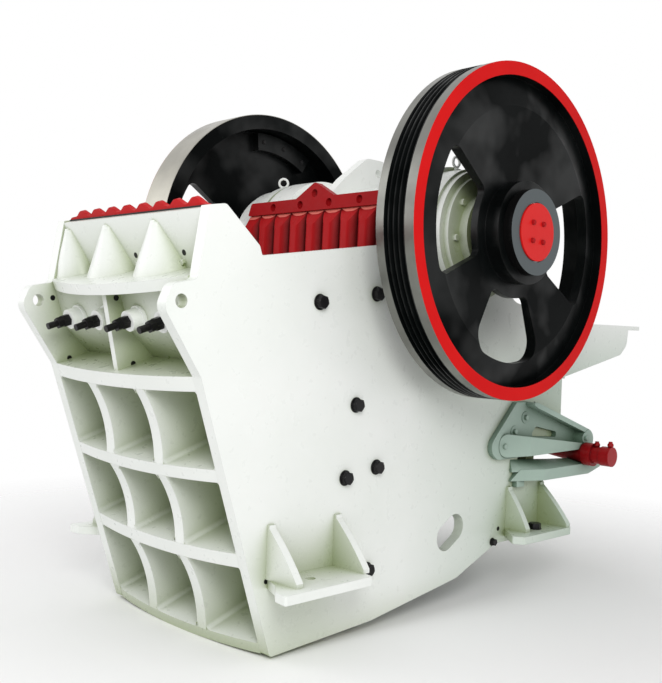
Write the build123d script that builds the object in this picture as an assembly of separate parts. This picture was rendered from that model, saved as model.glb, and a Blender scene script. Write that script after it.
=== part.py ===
"""Jaw crusher of the single-toggle kind, with a feed opening about one metre wide.

Lengths are millimetres, angles degrees. X runs across the machine, to the right as seen from
its front, +Y runs from the front frame end to the rear, and Z is up from the undersides of the
feet. The pieces are drawn about the machine's middle plane with the shaft over y = 0, and are
saved with the origin at the bolt hole of the front right foot, on its underside.
"""
from build123d import *
from math import atan2, cos, degrees, hypot, radians, sin, sqrt, tan
import os

os.makedirs("parts", exist_ok=True)

# Widths, from the jaws outwards to the shaft's end
SHAFT_Z = 1592.0
RUN_GAP = 0.05
SEAT_GAP = 0.3
JAW_HALF = 535.0
SIDE_GAP = 6.0
PLATE_THICK = 58.0
PLATE_INNER = JAW_HALF + SIDE_GAP
PLATE_OUTER = PLATE_INNER + PLATE_THICK
HOUSING_FLANGE = 130.0
HOUSING_RING = 37.0
COVER_FLANGE = 25.0
COVER_BOSS = 44.0
COVER_FACE = PLATE_OUTER + HOUSING_FLANGE + HOUSING_RING + COVER_FLANGE + COVER_BOSS
HUB_BACK = COVER_FACE + 7.0
WHEEL_BACK = COVER_FACE - COVER_BOSS + 11.5
WHEEL_WIDTH = 214.5
WHEEL_FACE = WHEEL_BACK + WHEEL_WIDTH
HUB_FACE = WHEEL_FACE + 30.0
LOCK_RING_FACE = HUB_FACE + 47.0
SHAFT_END = LOCK_RING_FACE - 9.0

# Side plate
PLATE_HOLE_Y = 65.0
PLATE_HOLE_Z = 80.0
PLATE_HOLE_LENGTH = 85.0
PLATE_HOLE_WIDTH = 140.0
PLATE_HOLE_TILT = 30.0
LIFT_HOLE_Y = -1661.0
LIFT_HOLE_Z = 1192.0
LIFT_HOLE_R = 28.0

# Feet
BASE_THICK = 40.0
FOOT_REACH = 201.0
FRONT_FOOT_LIP = 43.0
FOOT_HEIGHT = 270.0
FOOT_TOE = 18.0
FOOT_NIB = 15.0
FOOT_BULGE = 5.0
GUSSET_THICK = 38.0
FOOT_HOLE_R = 23.0
FOOT_HOLE_X = PLATE_OUTER + 101.0
FRONT_FOOT_Y = (-1290.0, -750.0)
FRONT_HOLE_Y = -1020.0
FRONT_GUSSET_INSET = 105.0
REAR_FOOT_Y = (430.0, 905.0)
REAR_HOLE_Y = 690.0
REAR_GUSSET_INSET = 120.0
REAR_GUSSET_REACH = 138.0

# Front frame: a leaning wall behind a grid of shelves and ribs
LEAN = 18.9
FACE_Y = -1555.0
FACE_Z = 895.0
POCKET_DEPTH = 230.0
WALL_THICK = 35.0
WALL_TOP = 631.0
WALL_BOTTOM = -1261.0
FACE_BOW = 45.0
SHELVES = ((-64.0, 0.0), (-461.0, -404.0), (-850.0, -785.0), (-1261.0, -1211.0))
UPPER_SHELF = (342.0, 390.0)
UPPER_SHELF_END = -92.0
UPPER_SHELF_BOW = 110.0
RIB_THICK = 66.0
RIB_DIP = 26.0
RIB_X = (PLATE_INNER + RIB_THICK / 2) / 3
RECESS_RIB_THICK = 32.0
RECESS_FOOT = -180.0
RECESS_WALL = -95.0
HEAD_CONES = ((20.0 - PLATE_INNER, 120.0), (-PLATE_INNER / 3, 145.0), (PLATE_INNER / 3 + 18.0, 145.0))
HEAD_CONE_TIP = 12.0
JAW_BOLT_SPACING = PLATE_INNER * 0.457
JAW_BOLT_X = [(i - 1.5) * JAW_BOLT_SPACING for i in range(4)]
JAW_BOLT_V = 213.0
JAW_BOLT_R = 15.0
JAW_BOLT_END = 79.0
JAW_NUT_AF = 50.0
JAW_NUT_THICK = 33.0
LOCK_NUT_AF = 46.0
LOCK_NUT_THICK = 28.0
CUP_R = 46.0
CUP_RIM_R = 54.0
CUP_RIM = 14.0
CUP_FACE = -30.0

# Jaw dies: round teeth of one pitch on both jaws
TOOTH_PITCH = 126.0
TOOTH_DEPTH = 45.0
DIE_BASE = 22.0
FIXED_BEVEL = 0.42
MOVING_BEVEL = 0.65
FIXED_DIE_TOP = 636.0
FIXED_DIE_BOTTOM = -1230.0
FIXED_HALF = PLATE_INNER - 3.0
MOVING_TOP_Y = -439.0
MOVING_TOP_Z = 1720.0
MOVING_KINK_Y = -451.0
MOVING_KINK_Z = 1050.0
MOVING_FOOT_Y = -680.0
MOVING_FOOT_Z = -170.0
DIE_SPLIT = 4.0
CHEEK_THICK = 30.0
CHEEK_SPLIT_Z = 610.0
CHEEK_TOP_Z = 1385.0
CHEEK_BOTTOM_Z = -120.0
CHEEK_CLEAR = 22.0

# Shaft, bearings and flywheels
ECCENTRICITY = 15.0
WHEEL_TURN = -6.0
ECC_DIRECTION = WHEEL_TURN - 90.0
JOURNAL_R = 140.0
ECCENTRIC_R = 170.0
HOUSING_R = 330.0
HOUSING_RING_R = 318.0
SPIGOT_R = 229.5
PLATE_RING = 22.0
COVER_R = 285.0
COVER_BOSS_R = 198.0
EYE_X = PLATE_OUTER + 24.0
EYE_R = 25.5
EYE_WIRE_R = 7.0
EYE_DISTANCE = HOUSING_R + 44.0
EYES = ((-1, 11.8, -45.0), (1, 4.0, 0.0))
WHEEL_R = 800.0
RIM_INNER = WHEEL_R - 63.0
RIM_BACK_INNER = WHEEL_R - 85.0
WEB_DROP = 48.0
WEB_MID_DROP = 20.0
WEB_HUB_DROP = 42.0
WEB_MID_R = RIM_INNER - 137.0
HUB_R = 245.0
HUB_BACK_R = 165.0
WINDOWS = ((174.0, 29.0, 45.0), (-96.5, 26.0, 95.0), (-4.0, 29.0, 45.0))
WINDOW_INNER_R = HUB_R + 65.0
WINDOW_OUTER_R = RIM_INNER - 115.0
WINDOW_INNER_ROUND = 40.0
GROOVES = 4
GROOVE_PITCH = 29.5
GROOVE_DEPTH = 22.0
GROOVE_FLAT = 6.0
GROOVE_START = 44.0
LOCK_RING_R = 203.0
END_CAP_R = 136.5
END_CAP_THICK = 15.0
WEIGHT_SPAN = (58.0, 95.0)
WEIGHT_OUTER_R = RIM_BACK_INNER - 10.0
WEIGHT_INNER_R = WEIGHT_OUTER_R - 105.0
WEIGHT_THICK = 50.0

# Pitman
PITMAN_HALF = JAW_HALF - 35.0
BOSS_R = 372.0
BOSS_WIDTH = 170.0
BARREL_R = 300.0
ECC_SHOULDER = 15.0
PITMAN_WALL = 70.0
PITMAN_RIB_THICK = 50.0
LUG_THICK = 60.0
BAR_HALF = JAW_HALF
BAR_LOW = 1.0
BAR_HIGH = 70.0
BAR_THICK = 40.0
BAR_BOLT_SPACING = BAR_HALF * 0.405
BAR_BOLT_R = 21.0
BAR_LUG_HALF = 143.0
BAR_LUG_TOP = 138.0

# Toggle, rear frame and adjustment
TOGGLE_THICK = 45.0
TOGGLE_REAR = (522.5, 402.0)
TOGGLE_FRONT = (-192.0, 288.0)
TOGGLE_HALF = JAW_HALF - 85.0
SEAT_FACE_Y = -265.0
SEAT_DEPTH = 65.0
SEAT_Z = (215.0, 345.0)
SLOT_Z = (360.0, 470.0)
SLOT_FRONT_Y = 566.0
SLOT_REAR_Y = 920.0
BEAM_Y = (530.0, 660.0)
BEAM_GAP = 5.0
WEDGE_HALF = JAW_HALF - 35.0
WEDGE_DEPTHS = (60.0, 100.0)
WEDGE_REAR_Y = 820.0
REAR_Y = 1080.0
REAR_TOP_Z = 1190.0
REAR_BOTTOM_Z = 480.0
REAR_SHELF_Z = 810.0
ARM_REACH = 101.0
ARM_PLATE = 30.0
ARM_RIB = 90.0
ARM_END_Y = 1250.0
ARM_END_Z = 500.0
ARM_END_R = 61.0
CYLINDER_Y = 1205.0
CYLINDER_Z = 420.0
CYLINDER_FLANGE_R = 67.0
CYLINDER_R = 50.0
CYLINDER_HEAD_R = 57.0
NECK_START = 420.0
NECK_R = 64.0
CYLINDER_ROD_R = 27.0
CYLINDER_ROD_IN = 190.0
MOTOR_PLATE_END = 2000.0
MOTOR_PLATE_THICK = 25.0
MOTOR_WEB_THICK = 30.0

DIE_DEPTH = DIE_BASE + TOOTH_DEPTH
JAW_BACK = POCKET_DEPTH + WALL_THICK
WEB_BACK = WHEEL_FACE - 75.0
UPPER_LEAN = degrees(atan2(MOVING_TOP_Y - MOVING_KINK_Y, MOVING_TOP_Z - MOVING_KINK_Z))
UPPER_LENGTH = hypot(MOVING_TOP_Y - MOVING_KINK_Y, MOVING_TOP_Z - MOVING_KINK_Z)
LOWER_LEAN = degrees(atan2(MOVING_KINK_Y - MOVING_FOOT_Y, MOVING_KINK_Z - MOVING_FOOT_Z))
LOWER_LENGTH = hypot(MOVING_KINK_Y - MOVING_FOOT_Y, MOVING_KINK_Z - MOVING_FOOT_Z)

FRONT = Plane(origin=(0, FACE_Y, FACE_Z), x_dir=(1, 0, 0),
              z_dir=(0, -cos(radians(LEAN)), -sin(radians(LEAN))))
UPPER_JAW = Plane(origin=(0, MOVING_TOP_Y, MOVING_TOP_Z), x_dir=(1, 0, 0),
                  z_dir=(0, -cos(radians(UPPER_LEAN)), sin(radians(UPPER_LEAN))))
LOWER_JAW = Plane(origin=(0, MOVING_KINK_Y, MOVING_KINK_Z), x_dir=(1, 0, 0),
                  z_dir=(0, -cos(radians(LOWER_LEAN)), sin(radians(LOWER_LEAN))))
SHAFT = Pos(0, 0, SHAFT_Z)
ECC = Pos(0, ECCENTRICITY * cos(radians(ECC_DIRECTION)),
          SHAFT_Z + ECCENTRICITY * sin(radians(ECC_DIRECTION)))


def outline(*corners):
    """Closed face through the corners (a, b) or (a, b, radius), each rounded by its radius."""
    spots = [Vector(c[0], c[1]) for c in corners]
    radii = [c[2] if len(c) > 2 else 0.0 for c in corners]
    starts = []
    ends = []
    middles = []
    for i, spot in enumerate(spots):
        back = (spots[i - 1] - spot).normalized()
        ahead = (spots[(i + 1) % len(spots)] - spot).normalized()
        half = radians(back.get_angle(ahead)) / 2
        reach = radii[i] / tan(half)
        starts.append(spot + back * reach)
        ends.append(spot + ahead * reach)
        middle = (back + ahead).normalized() * (radii[i] / sin(half) - radii[i])
        middles.append(spot + middle)
    edges = []
    for i in range(len(spots)):
        if radii[i] > 0:
            edges.append(ThreePointArc(starts[i], middles[i], ends[i]).edge())
        following = starts[(i + 1) % len(spots)]
        edges.append(Line(ends[i], following).edge())
    return upward(Face(Wire(edges)))


def upward(face):
    """The same face with its normal along +Z, so that faces drawn either way round can be joined."""
    return face if face.normal_at().Z > 0 else -face


def along_x(face, start, end):
    """The face's (a, b) as (y, z), drawn out along X."""
    return extrude(Pos(start, 0, 0) * (Plane.YZ * face), end - start, dir=(1, 0, 0))


def along_y(face, start, end):
    """The face's (a, b) as (x, z), drawn out along Y."""
    return extrude(Pos(0, start, 0) * (Plane.XZ * face), end - start, dir=(0, 1, 0))


def along_z(face, start, end):
    return extrude(Pos(0, 0, start) * face, end - start, dir=(0, 0, 1))


def block(x0, x1, y0, y1, z0, z1):
    return Pos((x0 + x1) / 2, (y0 + y1) / 2, (z0 + z1) / 2) * Box(x1 - x0, y1 - y0, z1 - z0)


def spun_x(*points):
    """Solid turned about the X axis from (x, radius) points."""
    return revolve(Face(Wire(Polyline(*points, close=True).edges())), Axis.X, 360)


def turned_x(*points):
    """Solid turned about the shaft's axis from (x, radius) points."""
    return SHAFT * spun_x(*points)


def rod_x(radius, start, end):
    return Pos((start + end) / 2, 0, 0) * (Rot(0, 90, 0) * Cylinder(radius, end - start))


def mirrored(shape):
    return mirror(shape, about=Plane.YZ)


def front_wall_y(z, depth):
    """Y of a plane parallel to the front face, a depth behind it, at height z."""
    slope = tan(radians(LEAN))
    return FACE_Y - slope * (z - FACE_Z) + depth / cos(radians(LEAN))


def jaw_y(z, depth):
    """Y of the swing jaw's tooth tips, or of a line a depth behind them, at height z."""
    lean = radians(UPPER_LEAN if z > MOVING_KINK_Z else LOWER_LEAN)
    return MOVING_KINK_Y + tan(lean) * (z - MOVING_KINK_Z) + depth / cos(lean)


def side_plate():
    body = outline(
        (-1147, -299, 20), (FACE_Y, FACE_Z, 60), (-1742, 1168, 65), (-1702, 1258, 45),
        (-1588, 1280, 25), (-1540, 1577, 8), (-1458, 1591, 30), (-1276, 1437, 25),
        (-1262, 1398, 10), (-420, 1522, 60), (380, 1500, 120), (560, 1290, 120),
        (REAR_Y, REAR_TOP_Z, 20), (REAR_Y, SLOT_Z[1], 0), (655, SLOT_Z[1], 0),
        (SLOT_FRONT_Y + 82, SLOT_Z[1] - 55, 0), (SLOT_FRONT_Y, SLOT_Z[0], 0),
        (SLOT_REAR_Y, SLOT_Z[0], 0), (SLOT_REAR_Y, -30, 20), (470, -30, 60), (125, -166, 200),
        (-519, -263, 300))
    disc = Pos(0, SHAFT_Z, 0) * Circle(HOUSING_R + PLATE_RING)
    body = Sketch() + body + disc
    body -= Pos(0, SHAFT_Z, 0) * Circle(SPIGOT_R + SEAT_GAP)
    body -= Pos(LIFT_HOLE_Y, LIFT_HOLE_Z, 0) * Circle(LIFT_HOLE_R)
    oval = SlotCenterToCenter(PLATE_HOLE_LENGTH, PLATE_HOLE_WIDTH)
    body -= Pos(PLATE_HOLE_Y, PLATE_HOLE_Z, 0) * (Rot(0, 0, PLATE_HOLE_TILT) * oval)
    return along_x(body, PLATE_INNER, PLATE_OUTER)


def bow(u, rise):
    """How far a front edge bowed by rise stands in front of its ends at u."""
    radius = (PLATE_INNER ** 2 + rise ** 2) / (2 * rise)
    return rise - radius + sqrt(radius ** 2 - u ** 2)


def shelf(low, high, end, rise):
    """A shelf square to the face, with a bowed front edge."""
    back = -POCKET_DEPTH
    edges = [ThreePointArc((-PLATE_INNER, end), (0, end + rise), (PLATE_INNER, end)).edge(),
             Line((PLATE_INNER, end), (PLATE_INNER, back)).edge(),
             Line((PLATE_INNER, back), (-PLATE_INNER, back)).edge(),
             Line((-PLATE_INNER, back), (-PLATE_INNER, end)).edge()]
    return along_y(Face(Wire(edges)), low, high)


def pocket_rib(u, low, high):
    """An upright rib between two shelves, its front edge dipping in the middle."""
    front = bow(u, FACE_BOW)
    back = -POCKET_DEPTH
    edges = [ThreePointArc((low, front), ((low + high) / 2, front - RIB_DIP), (high, front)).edge(),
             Line((high, front), (high, back)).edge(),
             Line((high, back), (low, back)).edge(),
             Line((low, back), (low, front)).edge()]
    return along_x(Face(Wire(edges)), u - RIB_THICK / 2, u + RIB_THICK / 2)


def head_cone(u, radius):
    """Half a cone that stands on the upper shelf and leans into the wall."""
    low = UPPER_SHELF[1] - 5
    high = WALL_TOP - 27
    cone = Rot(-90, 0, 0) * Cone(radius, HEAD_CONE_TIP, high - low)
    cone = Pos(u, (low + high) / 2, -POCKET_DEPTH) * cone
    room = block(max(u - radius, -PLATE_INNER), u + radius, low, high, -POCKET_DEPTH - 10, radius - POCKET_DEPTH)
    return cone & room


def front_frame():
    body = block(-PLATE_INNER, PLATE_INNER, WALL_BOTTOM, WALL_TOP, -JAW_BACK, -POCKET_DEPTH)
    for low, high in SHELVES:
        body += shelf(low, high, 0, FACE_BOW)
    low, high = UPPER_SHELF
    body += shelf(low, high, UPPER_SHELF_END, UPPER_SHELF_BOW)
    for upper, lower in zip(SHELVES, SHELVES[1:]):
        for u in (-RIB_X, RIB_X):
            body += pocket_rib(u, lower[1], upper[0])
    floor = SHELVES[0][1]
    bend = JAW_BOLT_V - CUP_RIM_R - 5
    recess = outline((floor, RECESS_FOOT), (bend, RECESS_WALL), (low, RECESS_WALL),
                     (low, -POCKET_DEPTH), (floor, -POCKET_DEPTH))
    body += along_x(recess, -PLATE_INNER, PLATE_INNER)
    recess_rib = outline((floor, 12), (low, -25), (low, -POCKET_DEPTH), (floor, -POCKET_DEPTH))
    body += along_x(recess_rib, -RECESS_RIB_THICK / 2, RECESS_RIB_THICK / 2)
    for u, radius in HEAD_CONES:
        body += head_cone(u, radius)
    for u in JAW_BOLT_X:
        depth = JAW_BACK + RECESS_WALL
        hole = Cylinder(JAW_BOLT_R + SEAT_GAP, 2 * depth)
        body -= Pos(u, JAW_BOLT_V, RECESS_WALL - depth / 2) * hole
    return FRONT.location * body


def hex_nut(width, thick):
    return extrude(RegularPolygon(width / 2, 6, major_radius=False), thick)


def jaw_bolts():
    """Draw bolts of the fixed jaw, each with a nut and a lock nut in front of its spring cup."""
    bolts = Part()
    for u in JAW_BOLT_X:
        start = -JAW_BACK + SEAT_GAP
        rod = Pos(0, 0, (start + JAW_BOLT_END) / 2) * Cylinder(JAW_BOLT_R, JAW_BOLT_END - start)
        nut = Pos(0, 0, CUP_FACE) * hex_nut(JAW_NUT_AF, JAW_NUT_THICK)
        lock_nut = Pos(0, 0, CUP_FACE + JAW_NUT_THICK) * (Rot(0, 0, 20) * hex_nut(LOCK_NUT_AF, LOCK_NUT_THICK))
        bolts += Pos(u, JAW_BOLT_V, 0) * (rod + nut + lock_nut)
    return FRONT.location * bolts


def jaw_bolt_cups():
    cups = Part()
    for u in JAW_BOLT_X:
        length = CUP_FACE - RECESS_WALL
        cup = Pos(0, 0, RECESS_WALL + length / 2) * Cylinder(CUP_R, length)
        cup += Pos(0, 0, RECESS_WALL + CUP_RIM / 2) * Cylinder(CUP_RIM_R, CUP_RIM)
        cup -= Pos(0, 0, RECESS_WALL) * Cylinder(JAW_BOLT_R + SEAT_GAP, 4 * length)
        cups += Pos(u, JAW_BOLT_V, 0) * cup
    return FRONT.location * cups


def tooth_section(half):
    """Cross-section of a ribbed die: a flat back and round teeth, cut off at the half width."""
    count = int(half // TOOTH_PITCH) + 1
    end = count * TOOTH_PITCH
    edges = [Line((-end, 0), (end, 0)).edge(), Line((end, 0), (end, DIE_BASE)).edge()]
    for i in range(2 * count):
        right = end - i * TOOTH_PITCH
        left = right - TOOTH_PITCH
        middle = (left + right) / 2
        edges.append(ThreePointArc((right, DIE_BASE), (middle, DIE_DEPTH), (left, DIE_BASE)).edge())
    edges.append(Line((-end, DIE_BASE), (-end, 0)).edge())
    return upward(Face(Wire(edges))) & Pos(0, DIE_DEPTH) * Rectangle(2 * half, 4 * DIE_DEPTH)


def fixed_jaw_die():
    section = Pos(0, -JAW_BACK) * (Rot(0, 0, 180) * tooth_section(FIXED_HALF))
    body = along_y(section, FIXED_DIE_BOTTOM, FIXED_DIE_TOP + DIE_DEPTH)
    rise = FIXED_BEVEL * (DIE_DEPTH + 10)
    cut = outline((FIXED_DIE_TOP, -JAW_BACK), (FIXED_DIE_TOP + rise, -JAW_BACK - DIE_DEPTH - 10),
                  (FIXED_DIE_TOP + 2 * DIE_DEPTH, -JAW_BACK - DIE_DEPTH - 10),
                  (FIXED_DIE_TOP + 2 * DIE_DEPTH, -JAW_BACK + 5), (FIXED_DIE_TOP, -JAW_BACK + 5))
    body -= along_x(cut, -PLATE_INNER, PLATE_INNER)
    return FRONT.location * body


def moving_jaw_die():
    """Die of the swing jaw in two lengths, which meet at a slight bend."""
    section = Pos(0, -DIE_DEPTH) * tooth_section(JAW_HALF)
    upper = along_y(section, DIE_SPLIT - UPPER_LENGTH, 0)
    drop = MOVING_BEVEL * (DIE_DEPTH + 10)
    cut = outline((0, -DIE_DEPTH), (-drop, 10), (20, 10), (20, -DIE_DEPTH - 5), (0, -DIE_DEPTH - 5))
    upper -= along_x(cut, -PLATE_INNER, PLATE_INNER)
    lower = along_y(section, -LOWER_LENGTH, 0)
    return UPPER_JAW.location * upper + LOWER_JAW.location * lower


def cheek_plate(low, high):
    """Side liner between the two jaws, from height low to height high."""
    front = JAW_BACK + DIE_DEPTH + 2
    corners = [(front_wall_y(low, front), low), (front_wall_y(high, front), high),
               (jaw_y(high, -CHEEK_CLEAR), high, 40)]
    if low < MOVING_KINK_Z < high:
        corners.append((jaw_y(MOVING_KINK_Z, -CHEEK_CLEAR), MOVING_KINK_Z))
    corners.append((jaw_y(low, -CHEEK_CLEAR), low, 40))
    return along_x(outline(*corners), PLATE_INNER - CHEEK_THICK, PLATE_INNER)


def bearing_housing():
    flange = PLATE_OUTER + HOUSING_FLANGE
    ring = flange + HOUSING_RING
    bore = JOURNAL_R + RUN_GAP
    return turned_x((PLATE_INNER, bore), (PLATE_INNER, SPIGOT_R), (PLATE_OUTER, SPIGOT_R),
                    (PLATE_OUTER, HOUSING_R), (flange, HOUSING_R), (flange, HOUSING_RING_R),
                    (ring, HOUSING_RING_R), (ring, bore))


def bearing_cover():
    seat = PLATE_OUTER + HOUSING_FLANGE + HOUSING_RING
    flange = seat + COVER_FLANGE
    bore = JOURNAL_R + 1
    return turned_x((seat, bore), (seat, COVER_R), (flange, COVER_R), (flange, COVER_BOSS_R),
                    (COVER_FACE, COVER_BOSS_R), (COVER_FACE, bore))


def lifting_eyes():
    """Ring bolts on top of the bearing housings; each leans forward a little and has its own turn."""
    eyes = Part()
    for side, lean, turn in EYES:
        stem = Pos(0, 0, HOUSING_R + 8) * Cylinder(11, 16)
        ring = Pos(0, 0, EYE_DISTANCE) * (Rot(0, 0, turn) * (Rot(0, 90, 0) * Torus(EYE_R, EYE_WIRE_R)))
        eyes += SHAFT * (Pos(side * EYE_X, 0, 0) * (Rot(lean, 0, 0) * (stem + ring)))
    return eyes


def eccentric_shaft():
    throw = PITMAN_HALF + ECC_SHOULDER
    shaft = SHAFT * rod_x(JOURNAL_R, -SHAFT_END, SHAFT_END)
    return shaft + ECC * rod_x(ECCENTRIC_R, -throw, throw)


def wheel_window(angle, spread, corner):
    """A window of the flywheel: a sector of the half angle spread, with its outer corners rounded."""
    wide = radians(spread)
    reach = 2 * WINDOW_OUTER_R
    wedge = Polyline((0, 0), (reach * cos(wide), -reach * sin(wide)), (reach, 0),
                     (reach * cos(wide), reach * sin(wide)), close=True)
    sector = Sketch() + Face(Wire(wedge.edges()))
    sector = sector & Circle(WINDOW_OUTER_R)
    sector -= Circle(WINDOW_INNER_R)
    corners = sector.vertices().sort_by(lambda v: hypot(v.X, v.Y))
    sector = fillet(corners[-2:], corner)
    corners = sector.vertices().sort_by(lambda v: hypot(v.X, v.Y))
    sector = fillet(corners[:2], WINDOW_INNER_ROUND)
    return Rot(0, 0, angle) * sector


def flywheel(grooved):
    """Flywheel on the right-hand end of the shaft; the belt wheel has V-grooves in its rim."""
    rim = [(WHEEL_BACK, RIM_BACK_INNER), (WHEEL_BACK, WHEEL_R)]
    if grooved:
        for i in range(GROOVES):
            start = WHEEL_BACK + GROOVE_START + i * GROOVE_PITCH
            slant = (GROOVE_PITCH - 2 * GROOVE_FLAT) / 2
            rim += [(start, WHEEL_R), (start + slant, WHEEL_R - GROOVE_DEPTH),
                    (start + slant + GROOVE_FLAT, WHEEL_R - GROOVE_DEPTH),
                    (start + 2 * slant + GROOVE_FLAT, WHEEL_R)]
    rim += [(WHEEL_FACE, WHEEL_R), (WHEEL_FACE, RIM_INNER), (WHEEL_FACE - WEB_DROP, RIM_INNER),
            (WHEEL_FACE - WEB_MID_DROP, WEB_MID_R), (WHEEL_FACE - WEB_HUB_DROP, HUB_R),
            (HUB_FACE, HUB_R), (HUB_FACE, JOURNAL_R + SEAT_GAP), (HUB_BACK, JOURNAL_R + SEAT_GAP),
            (HUB_BACK, HUB_BACK_R), (WEB_BACK, HUB_BACK_R + 60), (WEB_BACK, RIM_BACK_INNER)]
    wheel = turned_x(*rim)
    for angle, spread, corner in WINDOWS:
        wheel -= SHAFT * along_x(wheel_window(angle, spread, corner), WHEEL_BACK, WHEEL_FACE + 5)
    return wheel


def counterweight():
    """Balance weight against the inner side of the web, opposite the eccentric."""
    inner = WEIGHT_INNER_R
    outer = WEIGHT_OUTER_R
    start, end = (radians(a) for a in WEIGHT_SPAN)
    middle = (start + end) / 2
    edges = [ThreePointArc(*[(outer * cos(a), outer * sin(a)) for a in (start, middle, end)]).edge(),
             Line((outer * cos(end), outer * sin(end)), (inner * cos(end), inner * sin(end))).edge(),
             ThreePointArc(*[(inner * cos(a), inner * sin(a)) for a in (end, middle, start)]).edge(),
             Line((inner * cos(start), inner * sin(start)), (outer * cos(start), outer * sin(start))).edge()]
    return SHAFT * along_x(Face(Wire(edges)), WEB_BACK - WEIGHT_THICK, WEB_BACK)


def locking_ring():
    return turned_x((HUB_FACE, JOURNAL_R + SEAT_GAP), (HUB_FACE, LOCK_RING_R),
                    (LOCK_RING_FACE, LOCK_RING_R), (LOCK_RING_FACE, JOURNAL_R + SEAT_GAP))


def end_cap():
    return SHAFT * rod_x(END_CAP_R, SHAFT_END, SHAFT_END + END_CAP_THICK)


def pitman():
    """Swing jaw body: bearing bosses, front wall, upright ribs and the seat for the toggle."""
    inner = PITMAN_HALF - BOSS_WIDTH
    bosses = ECC * rod_x(BOSS_R, -PITMAN_HALF, PITMAN_HALF)
    bosses -= ECC * rod_x(BOSS_R + 10, -inner, inner)
    body = bosses + ECC * rod_x(BARREL_R, -PITMAN_HALF, PITMAN_HALF)
    half = JAW_HALF - 5
    wall_back = -DIE_DEPTH - PITMAN_WALL
    upper = block(-half, half, -UPPER_LENGTH - 20, BAR_LOW + BAR_HIGH, wall_back, -DIE_DEPTH)
    lower = block(-half, half, -LOWER_LENGTH - 20, 20, wall_back, -DIE_DEPTH)
    body += UPPER_JAW.location * upper
    body += LOWER_JAW.location * lower
    inside = DIE_DEPTH + PITMAN_WALL / 2
    seat_front = SEAT_FACE_Y - SEAT_DEPTH
    rib = outline((jaw_y(1560, inside), 1560), (0, 1560), (330, 1400, 120), (-150, 560, 150),
                  (seat_front, 380, 20), (seat_front, 190, 20), (jaw_y(20, inside), 20),
                  (jaw_y(MOVING_KINK_Z, inside), MOVING_KINK_Z))
    outer_rib = PITMAN_HALF - PITMAN_RIB_THICK / 2
    for x in (-outer_rib, -RIB_X, RIB_X, outer_rib):
        body += along_x(rib, x - PITMAN_RIB_THICK / 2, x + PITMAN_RIB_THICK / 2)
    seat = outline((jaw_y(430, inside), 430), (seat_front, 400), (seat_front, 190), (jaw_y(150, inside), 150))
    body += along_x(seat, -PITMAN_HALF, PITMAN_HALF)
    lug = outline((-345, 1740), (-345, 1790, 10), (-222, 1912, 120), (-50, 2042, 60), (85, 2042, 45),
                  (200, 1900, 60), (240, 1740))
    body += along_x(lug, -LUG_THICK / 2, LUG_THICK / 2)
    body -= Pos(0, 40, 1970) * rod_x(22, -LUG_THICK, LUG_THICK)
    body -= ECC * rod_x(ECCENTRIC_R + RUN_GAP, -PITMAN_HALF - 1, PITMAN_HALF + 1)
    body -= ECC * rod_x(ECCENTRIC_R + 40, -inner, inner)
    return body


def jaw_clamp_bar():
    """Wedge bar that clamps the top of the moving die, with a lifting lug in the middle."""
    top = BAR_HALF - 26
    face = outline((-BAR_HALF, BAR_LOW, 6), (BAR_HALF, BAR_LOW, 6), (top, BAR_HIGH, 20),
                   (BAR_LUG_HALF, BAR_HIGH), (0, BAR_LUG_TOP + 12, 30), (-BAR_LUG_HALF, BAR_HIGH),
                   (-top, BAR_HIGH, 20))
    bar = extrude(face, BAR_THICK)
    for i in range(4):
        hole = Cylinder(BAR_BOLT_R, BAR_THICK)
        bar -= Pos((i - 1.5) * BAR_BOLT_SPACING, (BAR_LOW + BAR_HIGH) / 2, BAR_THICK) * hole
    bar -= Pos(0, BAR_HIGH + 20, BAR_THICK / 2) * Cylinder(BAR_BOLT_R, 2 * BAR_THICK)
    return UPPER_JAW.location * (Pos(0, 0, -DIE_DEPTH) * bar)


def pitman_toggle_seat():
    return block(-TOGGLE_HALF, TOGGLE_HALF, SEAT_FACE_Y - SEAT_DEPTH, SEAT_FACE_Y, *SEAT_Z)


def toggle_plate():
    """Toggle plate with rounded ends, between the pitman and the toggle beam."""
    rear_y, rear_z = TOGGLE_REAR
    front_y, front_z = TOGGLE_FRONT
    length = hypot(rear_y - front_y, rear_z - front_z)
    tilt = degrees(atan2(rear_z - front_z, rear_y - front_y))
    plate = SlotCenterToCenter(length, TOGGLE_THICK)
    plate = Pos((rear_y + front_y) / 2, (rear_z + front_z) / 2, 0) * (Rot(0, 0, tilt) * plate)
    return along_x(plate, -TOGGLE_HALF, TOGGLE_HALF)


def toggle_beam():
    half = PLATE_INNER - BEAM_GAP
    beam = block(-half, half, *BEAM_Y, SLOT_Z[0] - 20, REAR_BOTTOM_Z)
    groove = Pos(0, *TOGGLE_REAR) * rod_x(TOGGLE_THICK / 2 + SEAT_GAP, -PLATE_INNER, PLATE_INNER)
    return beam - groove


def adjusting_wedges():
    """Pair of wedges that slide across each other behind the toggle beam."""
    half = WEDGE_HALF
    start = BEAM_Y[1]
    thin, thick = (start + depth for depth in WEDGE_DEPTHS)
    front = outline((-half, start), (half, start), (half, thick), (-half, thin))
    rear = outline((-half, thin + SEAT_GAP), (half, thick + SEAT_GAP), (half, WEDGE_REAR_Y),
                   (-half, WEDGE_REAR_Y))
    low = SLOT_Z[0] - 10
    return along_z(front, low, SLOT_Z[1]) + along_z(rear, low, SLOT_Z[1])


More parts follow.
